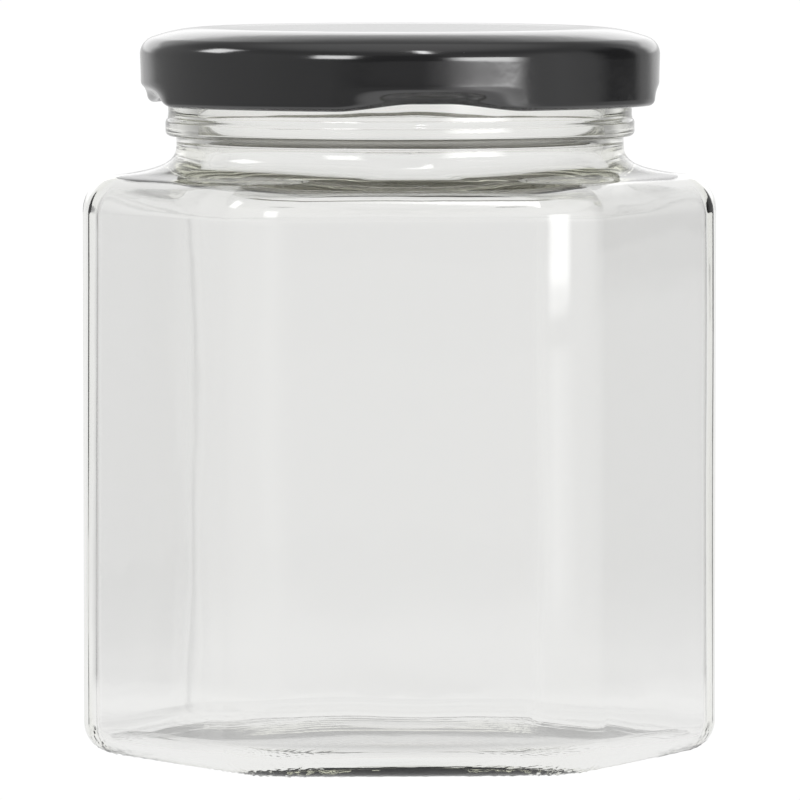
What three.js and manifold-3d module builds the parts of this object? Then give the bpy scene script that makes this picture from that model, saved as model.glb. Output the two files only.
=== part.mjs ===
// A hexagonal glass jar closed by a twist-off metal lid with four lugs.
// Millimetres, +Z up: the jar stands on z = 0, its axis is the Z axis and its front face looks along -Y.
import * as THREE from "three";
import Module from "manifold-3d";
import { mergeVertices } from "three/addons/utils/BufferGeometryUtils.js";

// Glass body, outside
const BODY_APOTHEM = 36.69;
const BODY_CORNER = 10.5;
const HEEL_RADIUS = 4;
const SHOULDER_EDGE_RADIUS = 4.5;
const SHOULDER_EDGE_HEIGHT = 70;
const SHOULDER_EDGE_SWEEP = 78;
const BEARING_APOTHEM = 28.6;
const BEARING_CORNER = 10.5;
const PUSH_UP_RADIUS = 26;
const PUSH_UP_EDGE_HEIGHT = 0.3;
const PUSH_UP_HEIGHT = 0.5;

// Glass neck and the finish that takes the lid, outside
const NECK_RADIUS = 28.75;
const NECK_HEIGHT = 78.4;
const NECK_KNEE_HEIGHT = 75.3;
const SHOULDER_LEAVE_SHARE = 0.82;
const SHOULDER_ARRIVE_SHARE = 0.72;
const BEAD_EDGE_RADIUS = 0.65;
const BEAD_CENTRE_RADIUS = 29.5;
const BEAD_LOW_HEIGHT = 80.15;
const BEAD_HIGH_HEIGHT = 81.2;
const BEAD_UNDERCUT = 0.1;
const BEAD_HIGH_DEGREES = 55;
const FINISH_RADIUS = 29.8;
const FINISH_HEIGHT = 82.3;
const RIM_RADIUS = 1.45;
const RIM_TOP = 91.9;

// Glass inside
const FOOT_WALL = 1.6;
const UPPER_WALL = 1.7;
const INNER_CORNER = 10.5;
const INNER_HEEL_RADIUS = 2.6;
const INNER_EDGE_RADIUS = 3.6;
const INNER_EDGE_HEIGHT = 69.4;
const INNER_EDGE_SWEEP = 76;
const INNER_NECK_RADIUS = 25.9;
const INNER_NECK_HEIGHT = 77.2;
const INNER_KNEE_HEIGHT = 73.4;
const FLOOR_HEIGHT = 1.8;
const FLOOR_RADIUS = 22;
const FLOOR_EDGE_RISE = 0.1;
const FLOOR_CROWN_RISE = 0.5;

// Thread ribs: one start for each lug, falling to the left so that the lid closes clockwise
const LUG_COUNT = 4;
const LUG_TURN = 5;
const THREAD_RADIUS = 1;
const THREAD_CENTRE_RADIUS = 29.8;
const THREAD_END_RADIUS = 28.3;
const THREAD_END_SHARE = 0.14;
const THREAD_LEAD_DEGREES = 12;
const THREAD_SPAN_DEGREES = 72;
const THREAD_LOW = 87.1;
const THREAD_RISE = 2.1;

// Lid: sheet metal with a sealing ring moulded to its underside
const LID_TOP = 93.4;
const LID_BOTTOM = 83.5;
const LID_SHEET = 0.5;
const PANEL_RADIUS = 25;
const CROWN_RADIUS = 20;
const CROWN_SWEEP = 20;
const LID_ROLL_RADIUS = 2.4;
const CURL_RADIUS = 0.75;
const CURL_LIP_LIFT = 0.6;
const SEAL_GAP = 0.3;
const SEAL_EDGE = 0.5;
const SEAL_INNER_RADIUS = 26.2;
const SEAL_OUTER_RADIUS = 30.2;
const LUG_HALF_DEGREES = 16.5;
const LUG_DEPTH = 1.75;
const LUG_LIFT = 0.9;
const LUG_TOP = 86.6;

// Mesh fineness
const GLASS_COLUMNS = 60;
const LID_COLUMNS = 72;
const ARC_STEPS = 5;
const BEAD_STEPS = 3;
const RIM_STEPS = 8;
const SHOULDER_STEPS = 8;
const CROWN_STEPS = 3;
const DOME_STEPS = 3;
const THREAD_STEPS = 16;
const THREAD_SIDES = 8;

const CORNERS = 6;
const SECTOR = (2 * Math.PI) / CORNERS;
const radians = THREE.MathUtils.degToRad;
const steps = (count) => Array.from({ length: count + 1 }, (_, index) => index / count);

// A station is one level of the glass: the apothem of its section, its corner radius and its height.
const station = (apothem, corner, height) => new THREE.Vector3(apothem, corner, height);
const roundStation = (radius, height) => station(radius, radius, height);

// A quarter-round of hexagon sections, each one the body's section moved in by the same amount all round
function hexagonArc(apothem, corner, height, radius, fromDegrees, toDegrees) {
  return steps(ARC_STEPS).map((share) => {
    const angle = radians(THREE.MathUtils.lerp(fromDegrees, toDegrees, share));
    const inset = radius * (1 - Math.cos(angle));
    return station(apothem - inset, corner - inset, height + radius * Math.sin(angle));
  });
}

// An arc of round sections about a centre at the given radius and height
function roundArc(centreRadius, height, radius, fromDegrees, toDegrees, count) {
  return steps(count).map((share) => {
    const angle = radians(THREE.MathUtils.lerp(fromDegrees, toDegrees, share));
    return roundStation(centreRadius + radius * Math.cos(angle), height + radius * Math.sin(angle));
  });
}

// The shoulder leaves the hexagon's edge towards the foot of the neck and ends upright on the round neck
function shoulder(edge, radius, kneeHeight, neckHeight) {
  const knee = roundStation(radius, kneeHeight);
  const neck = roundStation(radius, neckHeight);
  const leave = edge.clone().lerp(knee, SHOULDER_LEAVE_SHARE);
  const arrive = neck.clone().lerp(knee, SHOULDER_ARRIVE_SHARE);
  return new THREE.CubicBezierCurve3(edge, leave, arrive, neck).getPoints(SHOULDER_STEPS).slice(1);
}

// A shallow dome of round sections from the axis out to the given radius
function dome(radius, edgeHeight, crownHeight) {
  return steps(DOME_STEPS).map((share) => {
    const height = THREE.MathUtils.lerp(crownHeight, edgeHeight, share * share);
    return roundStation(radius * share, height);
  });
}

// All stations of the glass, from the middle of the base up the outside, over the rim and down the inside
function glassStations() {
  const heel = hexagonArc(BODY_APOTHEM, BODY_CORNER, HEEL_RADIUS, HEEL_RADIUS, -90, 0);
  const edge = hexagonArc(
    BODY_APOTHEM,
    BODY_CORNER,
    SHOULDER_EDGE_HEIGHT,
    SHOULDER_EDGE_RADIUS,
    0,
    SHOULDER_EDGE_SWEEP,
  );
  const outside = [
    ...dome(PUSH_UP_RADIUS, PUSH_UP_EDGE_HEIGHT, PUSH_UP_HEIGHT),
    station(BEARING_APOTHEM, BEARING_CORNER, 0),
    ...heel,
    ...edge,
    ...shoulder(edge.at(-1), NECK_RADIUS, NECK_KNEE_HEIGHT, NECK_HEIGHT),
    roundStation(NECK_RADIUS, BEAD_LOW_HEIGHT - BEAD_EDGE_RADIUS - BEAD_UNDERCUT),
    ...roundArc(BEAD_CENTRE_RADIUS, BEAD_LOW_HEIGHT, BEAD_EDGE_RADIUS, -90, 0, BEAD_STEPS),
    ...roundArc(BEAD_CENTRE_RADIUS, BEAD_HIGH_HEIGHT, BEAD_EDGE_RADIUS, 0, BEAD_HIGH_DEGREES, BEAD_STEPS),
    roundStation(FINISH_RADIUS, FINISH_HEIGHT),
  ];

  const rim = roundArc(FINISH_RADIUS - RIM_RADIUS, RIM_TOP - RIM_RADIUS, RIM_RADIUS, 0, 180, RIM_STEPS);

  const innerEdge = hexagonArc(
    BODY_APOTHEM - UPPER_WALL,
    INNER_CORNER,
    INNER_EDGE_HEIGHT,
    INNER_EDGE_RADIUS,
    0,
    INNER_EDGE_SWEEP,
  );
  const innerHeel = hexagonArc(
    BODY_APOTHEM - FOOT_WALL,
    INNER_CORNER,
    FLOOR_HEIGHT + INNER_HEEL_RADIUS,
    INNER_HEEL_RADIUS,
    -90,
    0,
  );
  const insideUpwards = [
    ...dome(FLOOR_RADIUS, FLOOR_HEIGHT + FLOOR_EDGE_RISE, FLOOR_HEIGHT + FLOOR_CROWN_RISE),
    ...innerHeel,
    ...innerEdge,
    ...shoulder(innerEdge.at(-1), INNER_NECK_RADIUS, INNER_KNEE_HEIGHT, INNER_NECK_HEIGHT),
  ];
  return [...outside, ...rim, ...insideUpwards.reverse()];
}

// Turns a lathe's circles into rounded hexagons with flat faces to the front and back.
// A column at turn t lies on the corner arc of its 60 degree sector: its centre plus corner radius times
// (sin t, -cos t). With the corner radius equal to the apothem the section is a circle.
function hexagonLathe(stations) {
  const profile = stations.map((level) => new THREE.Vector2(level.x, level.z));
  const geometry = new THREE.LatheGeometry(profile, GLASS_COLUMNS);
  const position = geometry.getAttribute("position");
  for (let column = 0; column <= GLASS_COLUMNS; column++) {
    const turn = ((column % GLASS_COLUMNS) + 0.5) * ((2 * Math.PI) / GLASS_COLUMNS);
    const cornerTurn = (Math.floor(turn / SECTOR) + 0.5) * SECTOR;
    stations.forEach((level, row) => {
      const centre = (level.x - level.y) / Math.cos(SECTOR / 2);
      const x = centre * Math.sin(cornerTurn) + level.y * Math.sin(turn);
      const z = centre * Math.cos(cornerTurn) + level.y * Math.cos(turn);
      position.setXYZ(column * stations.length + row, x, level.z, z);
    });
  }
  return geometry.rotateX(Math.PI / 2);
}

// Centre line of one thread rib: a helix that sinks into the wall at both ends
class ThreadPath extends THREE.Curve {
  constructor(lowTurn) {
    super();
    this.lowTurn = lowTurn;
  }

  getPoint(share, target = new THREE.Vector3()) {
    const turn = this.lowTurn + radians(THREAD_SPAN_DEGREES) * share;
    const fromEnd = Math.min(share, 1 - share);
    const raised = THREE.MathUtils.smoothstep(fromEnd, 0, THREAD_END_SHARE);
    const radius = THREE.MathUtils.lerp(THREAD_END_RADIUS, THREAD_CENTRE_RADIUS, raised);
    const height = THREAD_LOW + THREAD_RISE * share;
    return target.set(radius * Math.sin(turn), -radius * Math.cos(turn), height);
  }
}

function threadRib(lugTurn) {
  const section = new THREE.Shape().absarc(0, 0, THREAD_RADIUS, 0, 2 * Math.PI);
  return new THREE.ExtrudeGeometry(section, {
    extrudePath: new ThreadPath(lugTurn - radians(THREAD_LEAD_DEGREES)),
    steps: THREAD_STEPS,
    curveSegments: THREAD_SIDES,
    bevelEnabled: false,
  });
}

// Turn of each lug about the axis, counted from the front face towards +X
const lugTurns = steps(LUG_COUNT)
  .slice(0, LUG_COUNT)
  .map((share) => radians(LUG_TURN) + 2 * Math.PI * share);

// How fully a lug is pressed in at a turn about the axis: 1 at its middle and 0 between the lugs
function lugPress(turn) {
  const nearest = Math.min(
    ...lugTurns.map((lugTurn) => Math.acos(THREE.MathUtils.clamp(Math.cos(turn - lugTurn), -1, 1))),
  );
  return 1 - THREE.MathUtils.smoothstep(nearest, 0, radians(LUG_HALF_DEGREES));
}

// The crown slopes off from the flat panel, and the roll turns it down into the skirt. Both arcs share a
// normal where they meet, which sets the roll's centre and the radius of the skirt.
const crownEnd = radians(90 - CROWN_SWEEP);
const rollCentreRadius = PANEL_RADIUS + (CROWN_RADIUS - LID_ROLL_RADIUS) * Math.cos(crownEnd);
const rollHeight = LID_TOP - CROWN_RADIUS + (CROWN_RADIUS - LID_ROLL_RADIUS) * Math.sin(crownEnd);
const skirtRadius = rollCentreRadius + LID_ROLL_RADIUS;

// Crown and roll from the panel to the skirt, on the outside or moved in to the inside of the sheet
function lidShoulder(inset) {
  const crown = roundArc(
    PANEL_RADIUS,
    LID_TOP - CROWN_RADIUS,
    CROWN_RADIUS - inset,
    90,
    90 - CROWN_SWEEP,
    CROWN_STEPS,
  );
  const roll = roundArc(
    rollCentreRadius,
    rollHeight,
    LID_ROLL_RADIUS - inset,
    90 - CROWN_SWEEP,
    0,
    ARC_STEPS,
  );
  return [...crown, ...roll.slice(1)];
}

// Section of the lid, from the middle of its top out over the roll, down the skirt, round the curl and
// back along the inside and the sealing ring to the axis, reversed so that the lathe's faces point out
function lidProfile() {
  const point = (radius, height) => new THREE.Vector2(radius, height);
  const flat = (levels) => levels.map((level) => point(level.x, level.z));
  const underside = LID_TOP - LID_SHEET;
  const skirtInside = skirtRadius - LID_SHEET;
  const curlCentre = skirtRadius - CURL_RADIUS;
  const curlHeight = LID_BOTTOM + CURL_RADIUS;
  const sealFace = RIM_TOP + SEAL_GAP;
  const curl = roundArc(curlCentre, curlHeight, CURL_RADIUS, 0, -180, ARC_STEPS);
  const inside = lidShoulder(LID_SHEET).reverse();
  const overSeal = inside.filter((level) => level.x > SEAL_OUTER_RADIUS);
  return [
    point(0, LID_TOP),
    ...flat(lidShoulder(0)),
    point(skirtRadius, LUG_TOP),
    point(skirtRadius, (LUG_TOP + curlHeight) / 2),
    ...flat(curl),
    point(skirtInside, curlHeight + CURL_LIP_LIFT),
    point(skirtInside, LUG_TOP),
    ...flat(overSeal),
    point(SEAL_OUTER_RADIUS, sealFace),
    point(SEAL_INNER_RADIUS, sealFace),
    point(SEAL_INNER_RADIUS - SEAL_EDGE, underside),
    point(0, underside),
  ].reverse();
}

// The lathe-turned lid with its lugs pressed in: the sheet below their top moves inwards and up, most of all
// at its lower edge
function lidGeometry() {
  const geometry = new THREE.LatheGeometry(lidProfile(), LID_COLUMNS).rotateX(Math.PI / 2);
  const position = geometry.getAttribute("position");
  const vertex = new THREE.Vector3();
  for (let index = 0; index < position.count; index++) {
    vertex.fromBufferAttribute(position, index);
    const drop = 1 - THREE.MathUtils.smoothstep(vertex.z, LID_BOTTOM, LUG_TOP);
    const press = drop * lugPress(Math.atan2(vertex.x, -vertex.y));
    const radius = Math.hypot(vertex.x, vertex.y);
    const shrink = radius > 0 ? (radius - LUG_DEPTH * press) / radius : 1;
    position.setXYZ(index, vertex.x * shrink, vertex.y * shrink, vertex.z + LUG_LIFT * press);
  }
  return geometry;
}

const wasm = await Module();
wasm.setup();

function toSolid(geometry) {
  const bare = geometry.clone();
  bare.deleteAttribute("normal");
  bare.deleteAttribute("uv");
  const merged = mergeVertices(bare);
  const vertProperties = Float32Array.from(merged.getAttribute("position").array);
  const triVerts = Uint32Array.from(merged.getIndex().array);
  return new wasm.Manifold(new wasm.Mesh({ numProp: 3, vertProperties, triVerts }));
}

function toGeometry(solid) {
  const { vertProperties, triVerts } = solid.getMesh();
  const geometry = new THREE.BufferGeometry();
  geometry.setAttribute("position", new THREE.BufferAttribute(vertProperties, 3));
  geometry.setIndex(new THREE.BufferAttribute(triVerts, 1));
  geometry.computeVertexNormals();
  return geometry;
}

// The glass shell with its thread ribs grown on to the finish
function glassGeometry() {
  const shell = toSolid(hexagonLathe(glassStations()));
  const ribs = lugTurns.map((turn) => toSolid(threadRib(turn)));
  return toGeometry(ribs.reduce((glass, rib) => glass.add(rib), shell));
}

const clearGlass = new THREE.MeshStandardMaterial({
  color: 0xe4e5dd,
  roughness: 0.03,
  metalness: 0,
  transparent: true,
  opacity: 0.35,
});

const blackLacquer = new THREE.MeshStandardMaterial({
  color: 0x141414,
  roughness: 0.18,
  metalness: 0,
});

const jar = new THREE.Mesh(glassGeometry(), clearGlass);
jar.name = "jar_glass";

const lid = new THREE.Mesh(lidGeometry(), blackLacquer);
lid.name = "lid";

const hexagonalJar = new THREE.Group();
hexagonalJar.add(jar, lid);

export default hexagonalJar;
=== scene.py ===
"""Looks of a hexagonal glass jar with a black twist-off lid, in metres, round the jar's solid model.

The glass and the lid are surfaces of two parameters, worked out as whole arrays from named sizes. The file is
laid out as an add-on: sizes and colours are properties, and each piece and the studio has an operator.
"""

import math

import bpy
import numpy as np
from bpy.props import FloatProperty, FloatVectorProperty, IntProperty, PointerProperty
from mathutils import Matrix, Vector


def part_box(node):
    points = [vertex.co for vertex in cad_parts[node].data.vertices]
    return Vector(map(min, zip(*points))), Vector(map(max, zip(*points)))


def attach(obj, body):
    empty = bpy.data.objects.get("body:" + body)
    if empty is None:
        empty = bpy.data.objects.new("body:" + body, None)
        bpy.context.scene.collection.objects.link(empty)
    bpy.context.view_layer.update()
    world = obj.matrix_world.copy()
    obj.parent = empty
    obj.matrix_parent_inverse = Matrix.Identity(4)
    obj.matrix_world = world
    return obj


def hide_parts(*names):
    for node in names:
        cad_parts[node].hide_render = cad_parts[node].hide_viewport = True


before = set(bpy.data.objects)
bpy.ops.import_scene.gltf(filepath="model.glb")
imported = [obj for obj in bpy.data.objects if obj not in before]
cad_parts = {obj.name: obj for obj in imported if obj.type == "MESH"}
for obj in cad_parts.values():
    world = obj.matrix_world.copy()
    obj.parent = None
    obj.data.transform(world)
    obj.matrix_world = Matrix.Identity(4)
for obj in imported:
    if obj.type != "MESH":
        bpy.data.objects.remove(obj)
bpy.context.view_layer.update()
_, glass_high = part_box("jar_glass")
lid_low, lid_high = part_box("lid")

bl_info = {
    "name": "Hexagonal Jar",
    "version": (1, 0, 0),
    "blender": (4, 5, 0),
    "location": "View3D > Sidebar > Jar",
    "description": "Builds a hexagonal glass jar, its twist-off lid and a plain studio",
    "category": "Add Mesh",
}

MM = 0.001
TINY = 1e-9
QUARTER = math.pi / 2
WHITE = (1.0, 1.0, 1.0, 1.0)
CORNERS = 6
SECTOR = 2 * math.pi / CORNERS
IMAGE_PIXELS = 800
SENSOR_WIDTH = 36.0
FLOOR_POINTS = 96
LAMP_DISTANCE = 1.2
# How often light may pass through or be mirrored in the glass, so that its thick edges don't go black
LIGHT_PASSES = 28

# Rows of the grid for each stretch of the glass and of the lid
GLASS_ROWS = {
    "push_up": 8,
    "ring": 11,
    "heel": 11,
    "edge": 11,
    "shoulder": 16,
    "under_bead": 10,
    "over_bead": 7,
    "finish": 20,
    "rim": 12,
    "inner_neck": 16,
    "inner_edge": 10,
    "inner_wall": 10,
    "inner_heel": 11,
    "floor": 8,
}
LID_ROWS = {
    "panel": 20,
    "crown": 10,
    "roll": 16,
    "skirt": 24,
    "curl": 14,
    "inner_skirt": 10,
    "inner_roll": 10,
    "inner_crown": 8,
    "seal_edge": 5,
    "under_panel": 8,
}

# Slow waves of the glass inside: strength, waves round the jar, turn to the millimetre of height and lead
RIPPLES = (
    (1.0, 5, 0.083, 1.3),
    (0.7, 9, -0.117, 0.4),
    (0.5, 14, 0.171, 2.0),
)
# Shifts that make the stipple uneven: strength, waves to a side and lead
STIPPLE_SHIFTS = (
    (1.4, 5, 0.0),
    (0.9, 11, 1.7),
)


def length(name, description, default):
    """A property that holds a length in metres."""
    return FloatProperty(name=name, description=description, default=default, unit="LENGTH", precision=5)


def angle(name, description, degrees):
    """A property that holds an angle, given here in degrees."""
    return FloatProperty(name=name, description=description, default=math.radians(degrees), subtype="ANGLE")


def share(name, description, default):
    """A property that holds a plain share or strength."""
    return FloatProperty(name=name, description=description, default=default, min=0.0)


def colour(name, description, default):
    """A property that holds a linear colour."""
    return FloatVectorProperty(name=name, description=description, default=default, subtype="COLOR", size=3)


class GlassSizes(bpy.types.PropertyGroup):
    """Sizes of the glass, outside and inside."""

    apothem: length("Face distance", "From the axis to a face of the body", 36.69 * MM)
    corner: length("Corner radius", "Radius of the body's upright corners", 10.5 * MM)
    heel: length("Heel radius", "Rounding between the body and the base", 4.0 * MM)
    edge: length("Shoulder rounding", "Rounding between the body and the shoulder", 4.5 * MM)
    edge_height: length("Shoulder height", "Height where the rounding of the shoulder starts", 70.0 * MM)
    edge_sweep: angle("Shoulder sweep", "How far the shoulder's rounding turns over", 78.0)
    bearing: length("Bearing ring", "Face distance of the bearing ring's inner edge", 28.6 * MM)
    push_up: length("Push-up", "Height of the hollow under the base", 0.5 * MM)
    push_up_edge: length("Push-up edge", "Height of that hollow at its edge", 0.3 * MM)
    push_up_radius: length("Push-up radius", "Radius of the hollow under the base", 26.0 * MM)
    neck: length("Neck radius", "Radius of the neck below the bead", 28.75 * MM)
    neck_height: length("Neck height", "Height where the shoulder has become the neck", 78.4 * MM)
    knee_height: length("Knee height", "Height of the corner that the shoulder's curve rounds off", 75.3 * MM)
    bead: length("Bead rounding", "Rounding of the edges of the bead round the neck", 0.65 * MM)
    bead_centre: length("Bead centre", "Distance of those roundings' centres from the axis", 29.5 * MM)
    bead_low: length("Bead lower edge", "Height of the centre of the lower rounding", 80.15 * MM)
    bead_high: length("Bead upper edge", "Height of the centre of the upper rounding", 81.2 * MM)
    bead_turn: angle("Bead upper turn", "How far the upper rounding turns over", 55.0)
    bead_undercut: length("Bead undercut", "Drop of the neck's top below the lower rounding", 0.1 * MM)
    finish: length("Finish radius", "Radius of the threaded part inside the lid", 29.8 * MM)
    finish_height: length("Finish height", "Height where the threaded part starts", 82.3 * MM)
    rim: length("Rim radius", "Rounding of the rim", 1.45 * MM)
    rim_top: length("Rim height", "Height of the rim", glass_high.z)
    wall: length("Wall", "Thickness of the glass at the foot of a face", 1.6 * MM)
    upper_wall: length("Upper wall", "Thickness of the glass at the top of a face", 1.7 * MM)
    inner_corner: length("Inner corner radius", "Radius of the upright corners inside", 10.5 * MM)
    inner_heel: length("Inner heel radius", "Rounding between wall and floor inside", 2.6 * MM)
    inner_edge: length("Inner shoulder rounding", "Rounding under the shoulder inside", 3.6 * MM)
    inner_edge_height: length("Inner shoulder height", "Height where that rounding starts", 69.4 * MM)
    inner_edge_sweep: angle("Inner shoulder sweep", "How far that rounding turns over", 76.0)
    inner_neck: length("Inner neck radius", "Radius of the neck inside", 25.9 * MM)
    inner_neck_height: length("Inner neck height", "Height where the inside is the neck's", 77.2 * MM)
    inner_knee_height: length("Inner knee height", "Height of the inner shoulder curve's corner", 73.4 * MM)
    floor_height: length("Floor height", "Height of the floor's edge inside", 1.8 * MM)
    floor_radius: length("Floor radius", "Radius of the round middle of the floor", 22.0 * MM)
    floor_rise: length("Floor rise", "Height of that middle's edge above the floor's edge", 0.1 * MM)
    floor_crown: length("Floor crown", "Height of the floor's middle above its edge", 0.5 * MM)
    uneven_wall: length("Uneven wall", "Thickness gained in front and behind, lost at the sides", 0.38 * MM)
    uneven_floor: length("Uneven floor", "The same for the thickness of the floor", 0.3 * MM)
    seam: length("Seam height", "Height of the mould's ridge at the two side corners", 0.05 * MM)
    seam_width: length("Seam width", "Half width of that ridge", 0.45 * MM)
    seam_top: length("Seam top", "Height where that ridge ends", 76.0 * MM)
    stipple: length("Stipple depth", "Depth of the stipple on the bearing ring", 0.26 * MM)
    stipple_pitch: length("Stipple pitch", "Distance of the stipple's rows", 1.2 * MM)
    stipple_count: IntProperty(name="Stipple count", description="Stipple dots to a side", default=27)
    ripple: length("Ripple", "Waves of the glass inside", 0.06 * MM)
    columns: IntProperty(name="Columns", description="Columns of the grid to a side", default=96)


class LidSizes(bpy.types.PropertyGroup):
    """Sizes of the lid and of the thread that it closes on."""

    top: length("Top height", "Height of the lid's panel", lid_high.z)
    bottom: length("Lower edge height", "Height of the skirt's lower edge", lid_low.z)
    sheet: length("Sheet", "Thickness of the sheet metal", 0.28 * MM)
    panel: length("Panel radius", "Radius of the flat panel", 25.0 * MM)
    step: length("Panel step", "Depth of the shallow step in the panel", 0.08 * MM)
    step_radius: length("Step radius", "Radius of that step", 21.5 * MM)
    step_width: length("Step width", "Width of that step's slope", 2.0 * MM)
    crown: length("Crown radius", "Radius of the slope round the panel", 20.0 * MM)
    crown_sweep: angle("Crown sweep", "Slope of the crown where the roll starts", 20.0)
    roll: length("Roll radius", "Rounding from the crown into the skirt", 2.4 * MM)
    curl: length("Curl radius", "Rounding of the curled lower edge", 0.75 * MM)
    seal_inner: length("Seal inner radius", "Inner radius of the sealing ring", 26.2 * MM)
    seal_outer: length("Seal outer radius", "Outer radius of the sealing ring", 30.2 * MM)
    seal_gap: length("Seal gap", "Gap between the rim and the sealing ring", 0.15 * MM)
    seal_round: length("Seal rounding", "Rounding of the sealing ring's edges", 0.4 * MM)
    seal_margin: length("Seal margin", "Gap between the ring's outer edge and the sheet's curve", 0.2 * MM)
    lug_count: IntProperty(name="Lugs", description="Number of lugs and of thread starts", default=4)
    lug_turn: angle("Lug turn", "Turn of the front lug from the front face", 4.0)
    lug_half: angle("Lug half width", "Half of the angle that a lug takes up", 22.0)
    lug_flat: angle("Lug flat", "Half of the angle that is fully pressed in", 4.0)
    lug_depth: length("Lug depth", "How far a lug is pressed in", 1.75 * MM)
    lug_lift: length("Lug lift", "How far the edge rises at a lug", 0.9 * MM)
    lug_top: length("Lug top", "Height where a lug starts", 86.5 * MM)
    lug_draw: length("Lug draw", "How far a lug draws the skirt above it in", 0.12 * MM)
    thread: length("Thread height", "How far a thread rib stands out", 1.0 * MM)
    thread_half: length("Thread half width", "Half of the width of a thread rib", 1.3 * MM)
    thread_low: length("Thread start", "Height of a thread rib's lower end", 87.1 * MM)
    thread_rise: length("Thread rise", "Rise of a thread rib over its length", 2.1 * MM)
    thread_span: angle("Thread span", "Turn that a thread rib takes up", 72.0)
    thread_lead: angle("Thread lead", "How far a rib reaches past its lug", 12.0)
    columns: IntProperty(name="Columns", description="Columns of the grid", default=540)


class FinishColours(bpy.types.PropertyGroup):
    """Colours and strengths of the finishes."""

    glass_tint: colour("Glass tint", "Colour that a long way through the glass takes on", (0.75, 0.765, 0.40))
    glass_density: share("Glass density", "Absorption of the glass for each metre", 10.0)
    glass_ior: share("Glass index", "Refractive index of the glass", 1.52)
    lacquer: colour("Lacquer", "Colour of the lid's outside", (0.004, 0.004, 0.0048))
    lacquer_dust: colour("Lacquer dust", "Colour of the faint dust on the lid", (0.03, 0.03, 0.03))
    lacquer_ior: share("Lacquer index", "Refractive index of the lacquer", 1.9)
    inside: colour("Inside lacquer", "Colour of the lid's inside", (0.72, 0.70, 0.64))
    seal: colour("Sealing ring", "Colour of the sealing ring", (0.62, 0.61, 0.57))


class StudioSettings(bpy.types.PropertyGroup):
    """Camera, floor and light."""

    azimuth: angle("Azimuth", "Turn of the camera from the front face towards +X", -3.2)
    distance: length("Distance", "From the jar's axis to the camera", 1.230)
    height: length("Camera height", "Height of the camera above the floor", 0.123)
    aim: length("Aim height", "Height that the camera looks at", 0.0454)
    focal_pixels: share("Focal length", "Focal length in pixels of an 800 pixel frame", 9570.0)
    floor_radius: length("Floor radius", "Radius of the floor", 8.0)
    floor_gap: length("Floor gap", "Gap that keeps the jar's and the floor's faces apart", 0.05 * MM)
    floor_glow: share("Floor glow", "Brightness of the floor close round the jar", 0.86)
    glow_full: length("Full glow", "Distance from the axis that the full glow reaches to", 0.10)
    glow_end: length("Glow end", "Distance where the glow has given way to the floor's ring", 0.30)
    floor_shade: share("Floor shade", "Share of that glow that the jar's own shade takes under it", 0.55)
    shade_full: length("Full shade", "Distance from the axis that the full shade reaches to", 0.020)
    shade_end: length("Shade end", "Distance where the shade has faded", 0.034)
    sweep_start: length("Sweep start", "Distance where the floor starts to match the studio's ring", 1.5)
    sweep_end: length("Sweep end", "Distance where it matches that ring", 2.7)
    backdrop: share("Backdrop", "Brightness of the floor and backdrop in plain sight", 1.02)
    upper: share("Upper", "Brightness of the surroundings above, as mirrored", 0.28)
    zenith: share("Zenith", "Brightness that is added to them straight above", 0.4)
    upper_through: share("Upper through glass", "Brightness of the surroundings above, through glass", 0.75)
    upper_start: angle("Upper start", "Elevation where the surroundings above begin", 22.0)
    upper_full: angle("Upper full", "Elevation where they have taken over", 42.0)
    zenith_start: angle("Zenith start", "Elevation where the brightness straight above begins", 45.0)
    zenith_full: angle("Zenith full", "Elevation where it is full", 85.0)


# Brightness of the studio at eye level by azimuth in degrees from the camera, counted towards +X
STUDIO_RING = (
    (-180, 0.88),
    (-150, 0.88),
    (-138, 0.42),
    (-101, 0.39),
    (-65, 0.38),
    (-31, 0.30),
    (-14, 0.13),
    (14, 0.13),
    (26, 0.32),
    (76, 0.50),
    (96, 0.36),
    (106, 0.07),
    (127, 0.07),
    (133, 0.42),
    (142, 0.42),
    (152, 0.88),
    (180, 0.88),
)

# Brightness of the floor, counted the same way: pale behind the jar, with a pool of light at the right
FLOOR_RING = (
    (-180, 0.87),
    (-150, 0.87),
    (-132, 0.45),
    (-60, 0.34),
    (10, 0.25),
    (20, 0.60),
    (34, 1.70),
    (46, 1.30),
    (64, 0.50),
    (134, 0.43),
    (150, 0.87),
    (180, 0.87),
)

# The same as seen through the glass, where the pool of light is weaker
FLOOR_RING_THROUGH = (
    (-180, 0.87),
    (-150, 0.87),
    (-132, 0.45),
    (-60, 0.36),
    (10, 0.30),
    (34, 0.75),
    (52, 0.45),
    (134, 0.43),
    (150, 0.87),
    (180, 0.87),
)

# Lamps: direction from the camera's azimuth and angular size in degrees, radiance, soft shares at the edges
LAMPS = {
    "softbox_right": {
        "azimuth": 38.5,
        "elevation": 8.6,
        "wide": 40.0,
        "tall": 20.0,
        "radiance": 5.8,
        "soft_wide": 0.3,
        "soft_tall": 0.09,
    },
    "window_left": {
        "azimuth": -29.5,
        "elevation": 21.0,
        "wide": 24.0,
        "tall": 26.0,
        "radiance": 6.0,
        "soft_wide": 0.3,
        "soft_tall": 0.3,
    },
    "lamp_left": {
        "azimuth": -99.0,
        "elevation": 34.0,
        "wide": 20.0,
        "tall": 22.0,
        "radiance": 5.5,
        "soft_wide": 0.3,
        "soft_tall": 0.3,
    },
    "lamp_above": {
        "azimuth": 13.0,
        "elevation": 52.0,
        "wide": 6.0,
        "tall": 26.0,
        "radiance": 9.0,
        "soft_wide": 0.3,
        "soft_tall": 0.3,
    },
    "light_behind": {
        "azimuth": 180.0,
        "elevation": 14.5,
        "wide": 80.0,
        "tall": 22.0,
        "radiance": 0.75,
        "soft_wide": 0.2,
        "soft_tall": 0.2,
    },
}


def span(start, end, count):
    """Evenly spaced values from start to end as a column, both ends included."""
    return np.linspace(start, end, count)[:, None]


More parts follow.
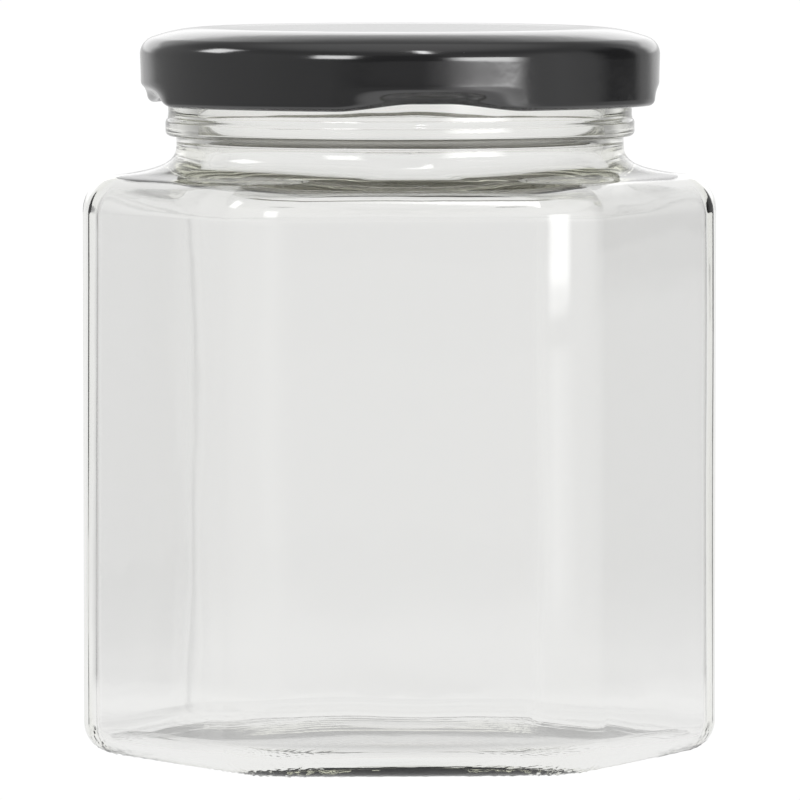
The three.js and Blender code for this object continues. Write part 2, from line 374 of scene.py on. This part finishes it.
def ease(value, low, high):
    """The smooth step from 0 at low to 1 at high: 3t^2 - 2t^3, with t the clipped share of the way."""
    t = np.clip((value - low) / (high - low), 0.0, 1.0)
    return t * t * (3 - 2 * t)


def level(apothem, corner, height):
    """One level of a piece as a row: face distance, corner radius and height."""
    return np.array([[apothem, corner, height]])


def round_level(radius, height):
    """One round level, whose face distance and corner radius are both its radius."""
    return level(radius, radius, height)


def straight(start, end, count):
    """Levels evenly spaced on the straight line between two levels, both included."""
    return start + (end - start) * span(0.0, 1.0, count)


def hexagon_arc(apothem, corner, height, radius, start, end, count):
    """Levels along a rounding: turned by t, both face distance and corner radius shrink by r (1 - cos t), and
    the height is that of the rounding's centre plus r sin t."""
    turn = span(start, end, count)
    inset = radius * (1 - np.cos(turn))
    return np.hstack([apothem - inset, corner - inset, height + radius * np.sin(turn)])


def round_arc(centre, height, radius, start, end, count):
    """Round levels along an arc: radius and height are those of the arc's centre plus r cos t and r sin t."""
    turn = span(start, end, count)
    reach = centre + radius * np.cos(turn)
    return np.hstack([reach, reach, height + radius * np.sin(turn)])


def shoulder(edge, neck, knee_height, neck_height, count):
    """Levels along a cubic curve from the hexagon's edge to the upright round neck. Its two inner points lie
    most of the way from each end to the knee, the corner where neck and shoulder would meet."""
    leave_share = 0.82
    arrive_share = 0.72
    t = span(0.0, 1.0, count)
    knee = round_level(neck, knee_height)
    top = round_level(neck, neck_height)
    leave = edge + (knee - edge) * leave_share
    arrive = top + (knee - top) * arrive_share
    return (1 - t) ** 3 * edge + 3 * (1 - t) ** 2 * t * leave + 3 * (1 - t) * t**2 * arrive + t**3 * top


def dome(radius, edge_height, crown_height, count):
    """Round levels from the axis outwards, whose height falls with the square of the radius."""
    t = span(0.0, 1.0, count)
    return np.hstack([radius * t, radius * t, crown_height + (edge_height - crown_height) * t**2])


def glass_levels(size):
    """All levels of the glass, each with the name of its stretch, from the middle of the base up the outside,
    over the rim and down the inside to the middle of the floor."""
    rows = GLASS_ROWS
    apothem, corner, inner_corner = size.apothem, size.corner, size.inner_corner
    heel = hexagon_arc(apothem, corner, size.heel, size.heel, -QUARTER, 0.0, rows["heel"])
    edge = hexagon_arc(apothem, corner, size.edge_height, size.edge, 0.0, size.edge_sweep, rows["edge"])
    ring = straight(level(size.bearing, corner, 0.0), heel[:1], rows["ring"])
    outer_top = shoulder(edge[-1:], size.neck, size.knee_height, size.neck_height, rows["shoulder"])
    neck_top = round_level(size.neck, size.bead_low - size.bead - size.bead_undercut)
    under_bead = round_arc(size.bead_centre, size.bead_low, size.bead, -QUARTER, 0.0, rows["under_bead"])
    over_bead = round_arc(size.bead_centre, size.bead_high, size.bead, 0.0, size.bead_turn, rows["over_bead"])

    rim_height = size.rim_top - size.rim
    finish_low = round_level(size.finish, size.finish_height)
    finish_high = round_level(size.finish, rim_height)
    rim = round_arc(size.finish - size.rim, rim_height, size.rim, 0.0, math.pi, rows["rim"])

    lower = apothem - size.wall
    upper = apothem - size.upper_wall
    low = size.floor_height + size.inner_heel
    high = size.inner_edge_height
    inner_heel = hexagon_arc(lower, inner_corner, low, size.inner_heel, -QUARTER, 0.0, rows["inner_heel"])
    inner_edge = hexagon_arc(
        upper, inner_corner, high, size.inner_edge, 0.0, size.inner_edge_sweep, rows["inner_edge"]
    )
    inner_wall = straight(inner_heel[-1:], inner_edge[:1], rows["inner_wall"])
    inner_top = shoulder(
        inner_edge[-1:], size.inner_neck, size.inner_knee_height, size.inner_neck_height, rows["inner_neck"]
    )
    floor_edge = size.floor_height + size.floor_rise
    floor_middle = size.floor_height + size.floor_crown
    stretches = {
        "push_up": dome(size.push_up_radius, size.push_up_edge, size.push_up, rows["push_up"]),
        "ring": ring[:-1],
        "heel": heel,
        "edge": edge,
        "shoulder": outer_top[1:],
        "bead": np.vstack([neck_top, under_bead, over_bead]),
        "finish": straight(finish_low, finish_high, rows["finish"]),
        "rim": rim[1:],
        "inner_neck": inner_top[:0:-1],
        "inner_edge": inner_edge[::-1],
        "inner_wall": inner_wall[-2:0:-1],
        "inner_heel": inner_heel[::-1],
        "floor": dome(size.floor_radius, floor_edge, floor_middle, rows["floor"])[::-1],
    }
    names = np.concatenate([np.full(len(part), name) for name, part in stretches.items()])
    return np.vstack(list(stretches.values())), names


def rounded_hexagon(around, apothem, corner):
    """Points of hexagons with rounded corners, one to a row, with flat faces to the front and back.

    The whole part of around names the sector between the middles of two faces, and its rest the share of the
    way along it: half a face, the corner's arc, half a face. A point is the arc's centre, plus the corner
    radius times the unit vector at its turn, plus what is left to go along a face. Faces are passed over
    faster than arcs. Also gives the true share of the way, counted like around."""
    face_pace = 0.6
    sector = np.floor(around)
    half_face = (apothem - corner) * math.tan(SECTOR / 2)
    arc = corner * SECTOR
    half_paced = half_face * face_pace
    travelled = (around - sector) * (2 * half_paced + arc) - half_paced
    on_arc = np.clip(travelled, 0.0, arc)
    before = np.minimum(travelled, 0.0) / face_pace
    after = np.maximum(travelled - arc, 0.0) / face_pace
    start = sector * SECTOR
    end = start + SECTOR
    turn = start + on_arc / np.maximum(corner, TINY)
    reach = (apothem - corner) / math.cos(SECTOR / 2)
    middle = start + SECTOR / 2
    x = reach * np.sin(middle) + corner * np.sin(turn) + before * np.cos(start) + after * np.cos(end)
    y = -reach * np.cos(middle) - corner * np.cos(turn) + before * np.sin(start) + after * np.sin(end)
    whole = np.maximum(2 * half_face + arc, TINY)
    return x, y, sector + (before + half_face + on_arc + after) / whole


def thread_relief(turn, height, lid):
    """How far the finish stands out at a turn and height: each rib climbs evenly with the turn, its section
    is half of one plus a cosine, and it fades in and out over its ends."""
    end_share = 0.14
    start = lid.lug_turn - lid.thread_lead
    along = np.mod(turn - start, 2 * math.pi / lid.lug_count) / lid.thread_span
    middle = lid.thread_low + lid.thread_rise * along
    across = np.clip((height - middle) / lid.thread_half, -1.0, 1.0)
    ends = ease(along, 0.0, end_share) * ease(1 - along, 0.0, end_share)
    return lid.thread * ends * (0.5 + 0.5 * np.cos(math.pi * across))


def ripple_relief(turn, height):
    """Slow waves over the inside of the glass, from -1 to 1: a sum of sines of turn and height over the sum
    of their strengths."""
    up = height / MM
    waves = sum(strength * np.sin(count * turn + rise * up + lead) for strength, count, rise, lead in RIPPLES)
    return waves / sum(strength for strength, *_ in RIPPLES)


def stipple_relief(along, run, size):
    """Uneven dots on the bearing ring and the foot of the heel, from 0 to 1: the product of a cosine along
    the side and one across the ring, both shifted by slow sines, strongest round the corners and faded out at
    both edges."""
    shift_across = 1.5
    corner_contrast = 0.3
    reach = size.apothem - size.bearing
    side = 2 * math.pi * along
    shift = sum(strength * np.sin(count * side + lead) for strength, count, lead in STIPPLE_SHIFTS)
    dots_along = np.cos(size.stipple_count * side + shift)
    dots_across = np.cos(2 * math.pi * run / size.stipple_pitch + shift_across * shift)
    edges = ease(run, 0.0, 0.5 * size.stipple_pitch) * ease(-run, -reach, -reach + size.stipple_pitch)
    corners = 1 - corner_contrast - corner_contrast * np.cos(side)
    return edges * corners * (0.5 - 0.5 * dots_along * dots_across)


def glass_surface(size, lid):
    """Grid of the glass: the rounded hexagon of each level, with columns drawn together at the corners.

    Added to it are stipple on the bearing ring, thread ribs on the finish, and slow waves inside. The hollow
    is narrower towards front and back and wider towards the side corners by the cosine of twice the turn, and
    the floor is uneven in the same way. A ridge whose section is a bell curve marks the mould's joint at the
    side corners, faded in from half the heel's height to twice it."""
    draw_together = 0.6
    levels, names = glass_levels(size)
    share_along = np.arange(size.columns) / size.columns
    drawn = share_along + draw_together * np.sin(2 * math.pi * share_along) / (2 * math.pi)
    around = (np.arange(CORNERS)[:, None] + drawn).reshape(1, -1)
    x, y, along = rounded_hexagon(around, levels[:, :1], levels[:, 1:2])
    turn = np.arctan2(x, -y)
    radius = np.maximum(np.hypot(x, y), TINY)
    z = np.broadcast_to(levels[:, 2:], x.shape)

    steps = np.linalg.norm(np.diff(levels[:, [0, 2]], axis=0, prepend=levels[:1, [0, 2]]), axis=1)
    run = np.cumsum(steps)[:, None]
    run = run - run[names == "ring"][0]
    foot = np.isin(names, ["ring", "heel"])[:, None]
    based = np.isin(names, ["inner_heel", "floor"])[:, None] * ease(levels[:, :1], 0.0, size.floor_radius)
    sideways = np.cos(2 * turn)
    lift = foot * size.stipple * stipple_relief(along, run, size) + based * size.uneven_floor * sideways

    inside = np.char.startswith(names, "inner")[:, None]
    shoulder_start = size.apothem - size.upper_wall - size.inner_edge
    below_neck = inside * ease(levels[:, :1], size.inner_neck, shoulder_start)
    skin = np.isin(names, ["heel", "edge", "shoulder"])[:, None]
    ridge = np.exp(-((y / size.seam_width) ** 2)) * (1 - ease(z, size.edge_height, size.seam_top))
    growth = (
        (names == "finish")[:, None] * thread_relief(turn, z, lid)
        + inside * size.ripple * ripple_relief(turn, z)
        - below_neck * size.uneven_wall * sideways
        + skin * size.seam * ridge * ease(z, 0.5 * size.heel, 2 * size.heel)
    )
    grown = 1 + growth / radius
    return np.stack([x * grown, y * grown, z + lift], axis=-1)


def lid_levels(size, rim_top):
    """Section of the lid from the middle of its top, over crown and roll, down the skirt, round the curl and
    back along the inside and the sealing ring to the axis, as round levels, with a finish for each row: 0
    outside, 1 inside and 2 the sealing ring."""
    rows = LID_ROWS
    crown_end = QUARTER - size.crown_sweep
    crown_height = size.top - size.crown
    roll_centre = size.panel + (size.crown - size.roll) * math.cos(crown_end)
    roll_height = crown_height + (size.crown - size.roll) * math.sin(crown_end)
    skirt = roll_centre + size.roll
    curl_height = size.bottom + size.curl

    def sheet_arcs(inset, crown_count, roll_count):
        """Crown and roll of the sheet, moved inwards by an inset."""
        crown = round_arc(size.panel, crown_height, size.crown - inset, QUARTER, crown_end, crown_count)
        roll = round_arc(roll_centre, roll_height, size.roll - inset, crown_end, 0.0, roll_count)
        return np.vstack([crown, roll[1:]])

    panel = dome(size.panel, size.top, size.top, rows["panel"])
    panel[:, 2] -= size.step * (1 - ease(panel[:, 0], size.step_radius, size.step_radius + size.step_width))
    outer_skirt = straight(round_level(skirt, roll_height), round_level(skirt, curl_height), rows["skirt"])
    curl = round_arc(skirt - size.curl, curl_height, size.curl, 0.0, -math.pi, rows["curl"])

    inner_low = round_level(skirt - size.sheet, curl_height + size.curl)
    inner_high = round_level(skirt - size.sheet, roll_height)
    inner_skirt = straight(inner_low, inner_high, rows["inner_skirt"])
    inner_arcs = sheet_arcs(size.sheet, rows["inner_crown"], rows["inner_roll"])[::-1]
    over_seal = inner_arcs[inner_arcs[:, 0] > size.seal_outer + size.seal_margin]

    bend = size.seal_round
    bend_height = rim_top + size.seal_gap + bend
    outer_bend = round_arc(size.seal_outer - bend, bend_height, bend, 0.0, -QUARTER, rows["seal_edge"])
    inner_bend = round_arc(size.seal_inner + bend, bend_height, bend, -QUARTER, -math.pi, rows["seal_edge"])
    under_height = size.top - size.sheet - size.step
    under_panel = dome(size.seal_inner, under_height, under_height, rows["under_panel"])

    stretches = (
        (panel[:-1], 0),
        (sheet_arcs(0.0, rows["crown"], rows["roll"]), 0),
        (outer_skirt[1:-1], 0),
        (curl, 0),
        (inner_skirt[:-1], 1),
        (over_seal, 1),
        (outer_bend, 2),
        (inner_bend, 2),
        (under_panel[::-1], 1),
    )
    finishes = np.concatenate([np.full(len(part), finish) for part, finish in stretches])
    return np.vstack([part for part, _ in stretches]), finishes


def lug_press(turn, size):
    """How fully a lug is pressed in at a turn: 1 over its flat middle, eased to 0 at its ends."""
    pitch = 2 * math.pi / size.lug_count
    off = np.abs(np.mod(turn - size.lug_turn + pitch / 2, pitch) - pitch / 2)
    return 1 - ease(off, size.lug_flat, size.lug_half)


def lid_surface(size, rim_top):
    """Grid of the lid: its section turned about the axis, then pressed in and lifted at the lugs, most of all
    at the lower edge, with the skirt above drawn in a little."""
    levels, finishes = lid_levels(size, rim_top)
    turn = (np.arange(size.columns) * 2 * math.pi / size.columns)[None, :]
    radius, height = levels[:, :1], levels[:, 2:]
    press = lug_press(turn, size)
    low = 1 - ease(height, size.bottom, size.lug_top)
    skirt = ease(radius, size.panel, size.panel + size.crown * math.sin(size.crown_sweep))
    drawn = skirt * (1 - ease(height, size.lug_top, size.top - size.roll))
    reach = radius - press * (size.lug_depth * low + size.lug_draw * drawn)
    z = height + press * size.lug_lift * low
    x = reach * np.sin(turn)
    y = -reach * np.cos(turn)
    return np.stack([x, y, np.broadcast_to(z, x.shape)], axis=-1), finishes


def grid_mesh(name, points, finishes=None):
    """Mesh of a grid whose columns close on themselves and whose first and last rows are single points. A
    face runs from row and column to the next of each, so it points out where rows climb the outside."""
    count, columns = points.shape[0] - 2, points.shape[1]
    first, last = count * columns, count * columns + 1
    here = np.arange(columns)
    there = np.roll(here, -1)
    row = (np.arange(count - 1) * columns)[:, None]
    quads = np.stack([row + here, row + there, row + columns + there, row + columns + here], axis=-1)
    top = (count - 1) * columns
    first_fan = np.stack([np.full(columns, first), there, here], axis=-1)
    last_fan = np.stack([top + here, top + there, np.full(columns, last)], axis=-1)
    vertices = np.vstack([points[1:-1].reshape(-1, 3), points[0, :1], points[-1, :1]])
    faces = quads.reshape(-1, 4).tolist() + first_fan.tolist() + last_fan.tolist()
    mesh = bpy.data.meshes.new(name)
    mesh.from_pydata(vertices.tolist(), [], faces)
    if finishes is not None:
        of_quads = np.repeat(finishes[1:-2], columns)
        of_fans = np.repeat([finishes[0], finishes[-1]], columns)
        mesh.polygons.foreach_set("material_index", np.concatenate([of_quads, of_fans]).astype(np.int32))
    mesh.shade_smooth()
    if mesh.validate():
        raise RuntimeError(f"the grid of {name} has faces that had to be removed")
    return mesh


class Wire:
    """A socket that can stand in sums: each operator adds one Math node to the socket's tree."""

    def __init__(self, tree, socket):
        self.tree = tree
        self.socket = socket

    def math(self, operation, *values):
        """Adds a Math node with an operation on wires and plain values."""
        made = self.tree.nodes.new("ShaderNodeMath")
        made.operation = operation
        for socket, value in zip(made.inputs, values):
            put(self.tree, socket, value)
        return Wire(self.tree, made.outputs[0])

    def __add__(self, other):
        return self.math("ADD", self, other)

    __radd__ = __add__

    def __sub__(self, other):
        return self.math("SUBTRACT", self, other)

    def __rsub__(self, other):
        return self.math("SUBTRACT", other, self)

    def __mul__(self, other):
        return self.math("MULTIPLY", self, other)

    __rmul__ = __mul__


def put(tree, socket, value):
    """Links a wire to a socket, or sets the socket to a plain value."""
    if isinstance(value, Wire):
        tree.links.new(value.socket, socket)
    else:
        socket.default_value = value


def pick(sockets, key):
    """The first socket in use whose name or identifier is the key."""
    return next(socket for socket in sockets if socket.enabled and key in (socket.name, socket.identifier))


def set_stops(ramp, stops):
    """Gives a colour ramp grey stops, listed as rising pairs of position and brightness."""
    for _ in range(len(stops) - len(ramp.elements)):
        ramp.elements.new(0.0)
    for element, (position, grey) in zip(ramp.elements, stops):
        element.position = position
        element.color = (grey, grey, grey, 1.0)


class Nodes:
    """The emptied node tree of a material, a lamp or the world."""

    def __init__(self, owner):
        owner.use_nodes = True
        self.tree = owner.node_tree
        self.tree.nodes.clear()

    def node(self, kind, settings=None, sockets=None, out=None):
        """Adds a node of a type with its settings and sockets, and gives one of its outputs as a wire."""
        made = self.tree.nodes.new(kind)
        for name, value in (settings or {}).items():
            if name == "stops":
                set_stops(made.color_ramp, value)
            else:
                setattr(made, name, value)
        for name, value in (sockets or {}).items():
            put(self.tree, pick(made.inputs, name), value)
        if not made.outputs:
            return None
        return Wire(self.tree, pick(made.outputs, out) if out else made.outputs[0])

    def axes(self, vector, names="XY"):
        """Parts of a vector along the named axes."""
        return [self.node("ShaderNodeSeparateXYZ", {}, {"Vector": vector}, name) for name in names]

    def noise(self, where, scale, detail=2.0, roughness=0.5):
        """Noise between 0 and 1 with features of about one part in scale of a metre."""
        sockets = {"Vector": where, "Scale": scale, "Detail": detail, "Roughness": roughness}
        return self.node("ShaderNodeTexNoise", {"noise_dimensions": "3D"}, sockets, "Fac")

    def ease(self, value, low, high):
        """The smooth step of a wire from 0 at low to 1 at high."""
        sockets = {"Value": value, "From Min": low, "From Max": high}
        return self.node("ShaderNodeMapRange", {"interpolation_type": "SMOOTHSTEP"}, sockets)

    def blend(self, factor, first, second):
        """Two colours mixed by a wire."""
        sockets = {"Factor": factor, "A": (*first, 1.0), "B": (*second, 1.0)}
        return self.node("ShaderNodeMix", {"data_type": "RGBA"}, sockets, "Result")

    def ring(self, studio, x, y, stops):
        """Brightness by the azimuth of x and y from the camera, from stops in degrees."""
        facing = math.sin(studio.azimuth) * x - math.cos(studio.azimuth) * y
        side = math.cos(studio.azimuth) * x + math.sin(studio.azimuth) * y
        turn = side.math("ARCTAN2", side, facing)
        shares = [(0.5 + degrees / 360, grey) for degrees, grey in stops]
        return self.node("ShaderNodeValToRGB", {"stops": shares}, {"Fac": turn * (0.5 / math.pi) + 0.5})

    def mirrored_or_through(self, mirrored, seen_through):
        """One brightness in mirrorings and another through glass."""
        through = self.node("ShaderNodeLightPath", out="Is Transmission Ray")
        return mirrored * (1 - through) + seen_through * through

    def in_plain_sight(self, kind, around, straight_on):
        """White light of a kind of shader, with one brightness for the surroundings and another where the
        camera looks straight at the studio."""
        seen = self.node("ShaderNodeLightPath", out="Is Camera Ray")
        first = self.node(kind, {}, {"Color": WHITE, "Strength": around})
        second = self.node(kind, {}, {"Color": WHITE, "Strength": straight_on})
        return self.node("ShaderNodeMixShader", {}, {"Fac": seen, "Shader": first, "Shader_001": second})

    def bump(self, height, distance):
        """A normal from a height wire, with the height of one in metres."""
        return self.node("ShaderNodeBump", {}, {"Height": height, "Distance": distance, "Strength": 1.0})


def clear_glass(finish):
    """Clear glass: a smooth refracting surface with faint smears, and absorption that tints thick parts."""
    polish = 0.002
    smear_haze = 0.012
    wave_height = 0.02 * MM
    material = bpy.data.materials.new("clear_glass")
    nodes = Nodes(material)
    where = nodes.node("ShaderNodeTexCoord", out="Object")
    smears = nodes.ease(nodes.noise(where, scale=60.0, detail=5.0, roughness=0.6), low=0.55, high=0.85)
    skin = nodes.bump(nodes.noise(where, scale=140.0, detail=1.0), wave_height)
    surface = nodes.node(
        "ShaderNodeBsdfPrincipled",
        {},
        {
            "Base Color": WHITE,
            "Roughness": polish + smear_haze * smears,
            "IOR": finish.glass_ior,
            "Transmission Weight": 1.0,
            "Normal": skin,
        },
    )
    sockets = {"Color": (*finish.glass_tint, 1.0), "Density": finish.glass_density}
    body = nodes.node("ShaderNodeVolumeAbsorption", {}, sockets)
    nodes.node("ShaderNodeOutputMaterial", {}, {"Surface": surface, "Volume": body})
    return material


def lacquer_finish(name, finish, base, dust, roughness):
    """Lacquer on sheet metal: a colour with faint dust, uneven gloss and the fine waves of a sprayed coat."""
    speck_cover, cloud_cover = 0.35, 0.10
    speck_haze, cloud_haze = 0.15, 0.08
    peel_height = 0.012 * MM
    material = bpy.data.materials.new(name)
    nodes = Nodes(material)
    where = nodes.node("ShaderNodeTexCoord", out="Object")
    specks = nodes.ease(nodes.noise(where, scale=2600.0), low=0.72, high=0.80)
    clouds = nodes.noise(where, scale=90.0, detail=4.0, roughness=0.6)
    peel = nodes.bump(nodes.noise(where, scale=420.0), peel_height)
    surface = nodes.node(
        "ShaderNodeBsdfPrincipled",
        {},
        {
            "Base Color": nodes.blend(speck_cover * specks + cloud_cover * clouds, base, dust),
            "Roughness": roughness + cloud_haze * clouds + speck_haze * specks,
            "IOR": finish.lacquer_ior,
            "Normal": peel,
        },
    )
    nodes.node("ShaderNodeOutputMaterial", {}, {"Surface": surface})
    return material


def add_to_scene(name, data):
    """An object with the given data, linked into the scene."""
    made = bpy.data.objects.new(name, data)
    bpy.context.scene.collection.objects.link(made)
    return made


def place_piece(name, mesh, materials, node):
    """Puts a mesh into the scene as the piece that stands for a node of the solid model."""
    piece = add_to_scene(name, mesh)
    for material in materials:
        mesh.materials.append(material)
    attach(piece, "root")
    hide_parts(node)


class JAR_OT_glass(bpy.types.Operator):
    """Builds the glass: body, shoulder, neck, threaded finish and hollow inside"""

    bl_idname = "jar.glass"
    bl_label = "Build Glass"

    def execute(self, context):
        scene = context.scene
        points = glass_surface(scene.jar_glass, scene.jar_lid)
        mesh = grid_mesh("glass_jar", points)
        place_piece("glass_jar", mesh, [clear_glass(scene.jar_finish)], "jar_glass")
        return {"FINISHED"}


class JAR_OT_lid(bpy.types.Operator):
    """Builds the lid: panel, crown, roll, skirt with lugs, curled edge and sealing ring"""

    bl_idname = "jar.lid"
    bl_label = "Build Lid"

    def execute(self, context):
        scene = context.scene
        finish = scene.jar_finish
        points, finishes = lid_surface(scene.jar_lid, scene.jar_glass.rim_top)
        mesh = grid_mesh("twist_off_lid", points[::-1], finishes[::-1])
        materials = [
            lacquer_finish("black_lacquer", finish, finish.lacquer, finish.lacquer_dust, roughness=0.08),
            lacquer_finish("inside_lacquer", finish, finish.inside, finish.lacquer_dust, roughness=0.30),
            lacquer_finish("sealing_compound", finish, finish.seal, finish.inside, roughness=0.45),
        ]
        place_piece("twist_off_lid", mesh, materials, "lid")
        return {"FINISHED"}


def build_floor(studio):
    """A plain round floor that glows by itself: evenly round the jar but for the jar's own shade, further out
    by the floor's ring, and by the studio's ring where it is far away."""
    turn = np.arange(FLOOR_POINTS) * 2 * math.pi / FLOOR_POINTS
    reach = studio.floor_radius
    depth = np.full_like(turn, -studio.floor_gap)
    rim = np.stack([reach * np.sin(turn), -reach * np.cos(turn), depth], axis=-1)
    mesh = bpy.data.meshes.new("floor")
    mesh.from_pydata(rim.tolist(), [], [list(range(FLOOR_POINTS))])
    material = bpy.data.materials.new("pale_floor")
    nodes = Nodes(material)
    where = nodes.node("ShaderNodeTexCoord", out="Object")
    x, y = nodes.axes(where)
    away = nodes.node("ShaderNodeVectorMath", {"operation": "LENGTH"}, {"Vector": where}, "Value")
    far = nodes.ease(away, studio.glow_full, studio.glow_end)
    shade = studio.floor_shade * (1 - nodes.ease(away, studio.shade_full, studio.shade_end))
    beyond = nodes.ease(away, studio.sweep_start, studio.sweep_end)
    mirrored = nodes.ring(studio, x, y, FLOOR_RING)
    through = nodes.ring(studio, x, y, FLOOR_RING_THROUGH)
    ring = nodes.mirrored_or_through(mirrored, through)
    near = ring * far + studio.floor_glow * (1 - shade) * (1 - far)
    around = near * (1 - beyond) + nodes.ring(studio, x, y, STUDIO_RING) * beyond
    light = nodes.in_plain_sight("ShaderNodeEmission", around, studio.backdrop)
    nodes.node("ShaderNodeOutputMaterial", {}, {"Surface": light})
    mesh.materials.append(material)
    add_to_scene("floor", mesh)


def build_surroundings(studio):
    """Light from all round: the ring of the studio at eye level, and another brightness above it, with more
    straight above."""
    scene = bpy.context.scene
    if scene.world is None:
        scene.world = bpy.data.worlds.new("studio")
    nodes = Nodes(scene.world)
    x, y, up = nodes.axes(nodes.node("ShaderNodeTexCoord", out="Generated"), "XYZ")
    above = nodes.ease(up, math.sin(studio.upper_start), math.sin(studio.upper_full))
    straight_up = nodes.ease(up, math.sin(studio.zenith_start), math.sin(studio.zenith_full))
    mirrored = studio.upper + studio.zenith * straight_up
    upper = nodes.mirrored_or_through(mirrored, studio.upper_through)
    around = nodes.ring(studio, x, y, STUDIO_RING) * (1 - above) + upper * above
    light = nodes.in_plain_sight("ShaderNodeBackground", around, studio.backdrop)
    nodes.node("ShaderNodeOutputWorld", {}, {"Surface": light})


def build_lamp(name, studio, azimuth, elevation, wide, tall, radiance, soft_wide, soft_tall):
    """A rectangular lamp that faces a point at half the camera's height, given by its direction from the
    camera's azimuth, its angular size in degrees and its radiance, which is its power over pi times its area.
    Its light fades over the soft shares of its width and height at each edge."""
    turn = studio.azimuth + math.radians(azimuth)
    climb = math.radians(elevation)
    centre = Vector((0.0, 0.0, 0.5 * studio.height))
    offset = Vector((math.sin(turn) * math.cos(climb), -math.cos(turn) * math.cos(climb), math.sin(climb)))
    lamp = bpy.data.lights.new(name, "AREA")
    lamp.shape = "RECTANGLE"
    lamp.size = 2 * LAMP_DISTANCE * math.tan(math.radians(wide) / 2)
    lamp.size_y = 2 * LAMP_DISTANCE * math.tan(math.radians(tall) / 2)
    lamp.energy = radiance * math.pi * lamp.size * lamp.size_y
    nodes = Nodes(lamp)
    u, v = nodes.axes(nodes.node("ShaderNodeNewGeometry", out="Parametric"))
    sides = nodes.ease(u, 0.0, soft_wide) * nodes.ease(1 - u, 0.0, soft_wide)
    ends = nodes.ease(v, 0.0, soft_tall) * nodes.ease(1 - v, 0.0, soft_tall)
    glow = nodes.node("ShaderNodeEmission", {}, {"Color": WHITE, "Strength": sides * ends})
    nodes.node("ShaderNodeOutputLight", {}, {"Surface": glow})
    holder = add_to_scene(name, lamp)
    holder.location = centre + offset * LAMP_DISTANCE
    holder.rotation_euler = offset.to_track_quat("Z", "Y").to_euler()
    holder.visible_camera = False
    holder.visible_transmission = False


def build_camera(studio):
    """A long lens at the photograph's viewing angle."""
    data = bpy.data.cameras.new("camera")
    data.sensor_width = SENSOR_WIDTH
    data.lens = SENSOR_WIDTH * studio.focal_pixels / IMAGE_PIXELS
    x = math.sin(studio.azimuth) * studio.distance
    y = -math.cos(studio.azimuth) * studio.distance
    place = Vector((x, y, studio.height))
    camera = add_to_scene("camera", data)
    camera.location = place
    camera.rotation_euler = (place - Vector((0.0, 0.0, studio.aim))).to_track_quat("Z", "Y").to_euler()
    bpy.context.scene.camera = camera


class JAR_OT_studio(bpy.types.Operator):
    """Sets up the floor, the light and the camera"""

    bl_idname = "jar.studio"
    bl_label = "Set Up Studio"

    def execute(self, context):
        scene = context.scene
        studio = scene.jar_studio
        build_surroundings(studio)
        build_floor(studio)
        for name, lamp in LAMPS.items():
            build_lamp(name, studio, **lamp)
        build_camera(studio)
        scene.view_settings.view_transform = "Standard"
        scene.cycles.max_bounces = LIGHT_PASSES
        scene.cycles.glossy_bounces = LIGHT_PASSES // 2
        scene.cycles.transmission_bounces = LIGHT_PASSES
        return {"FINISHED"}


class JAR_PT_panel(bpy.types.Panel):
    """Lists the jar's operators and properties"""

    bl_label = "Hexagonal Jar"
    bl_space_type = "VIEW_3D"
    bl_region_type = "UI"
    bl_category = "Jar"

    def draw(self, context):
        for operator in (JAR_OT_glass, JAR_OT_lid, JAR_OT_studio):
            self.layout.operator(operator.bl_idname)
        for group in GROUPS:
            settings = getattr(context.scene, group)
            box = self.layout.box()
            box.label(text=group.replace("_", " ").title())
            for name in settings.bl_rna.properties.keys():
                if name not in ("rna_type", "name"):
                    box.prop(settings, name)


GROUPS = {
    "jar_glass": GlassSizes,
    "jar_lid": LidSizes,
    "jar_finish": FinishColours,
    "jar_studio": StudioSettings,
}
CLASSES = (*GROUPS.values(), JAR_OT_glass, JAR_OT_lid, JAR_OT_studio, JAR_PT_panel)


def register():
    """Makes the classes and the scene's settings known to Blender."""
    for entry in CLASSES:
        bpy.utils.register_class(entry)
    for name, group in GROUPS.items():
        setattr(bpy.types.Scene, name, PointerProperty(type=group))


def unregister():
    """Takes the settings and the classes away again."""
    for name in GROUPS:
        delattr(bpy.types.Scene, name)
    for entry in reversed(CLASSES):
        bpy.utils.unregister_class(entry)


def main():
    """Registers the classes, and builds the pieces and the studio."""
    register()
    bpy.ops.jar.glass()
    bpy.ops.jar.lid()
    bpy.ops.jar.studio()


if __name__ == "__main__":
    main()
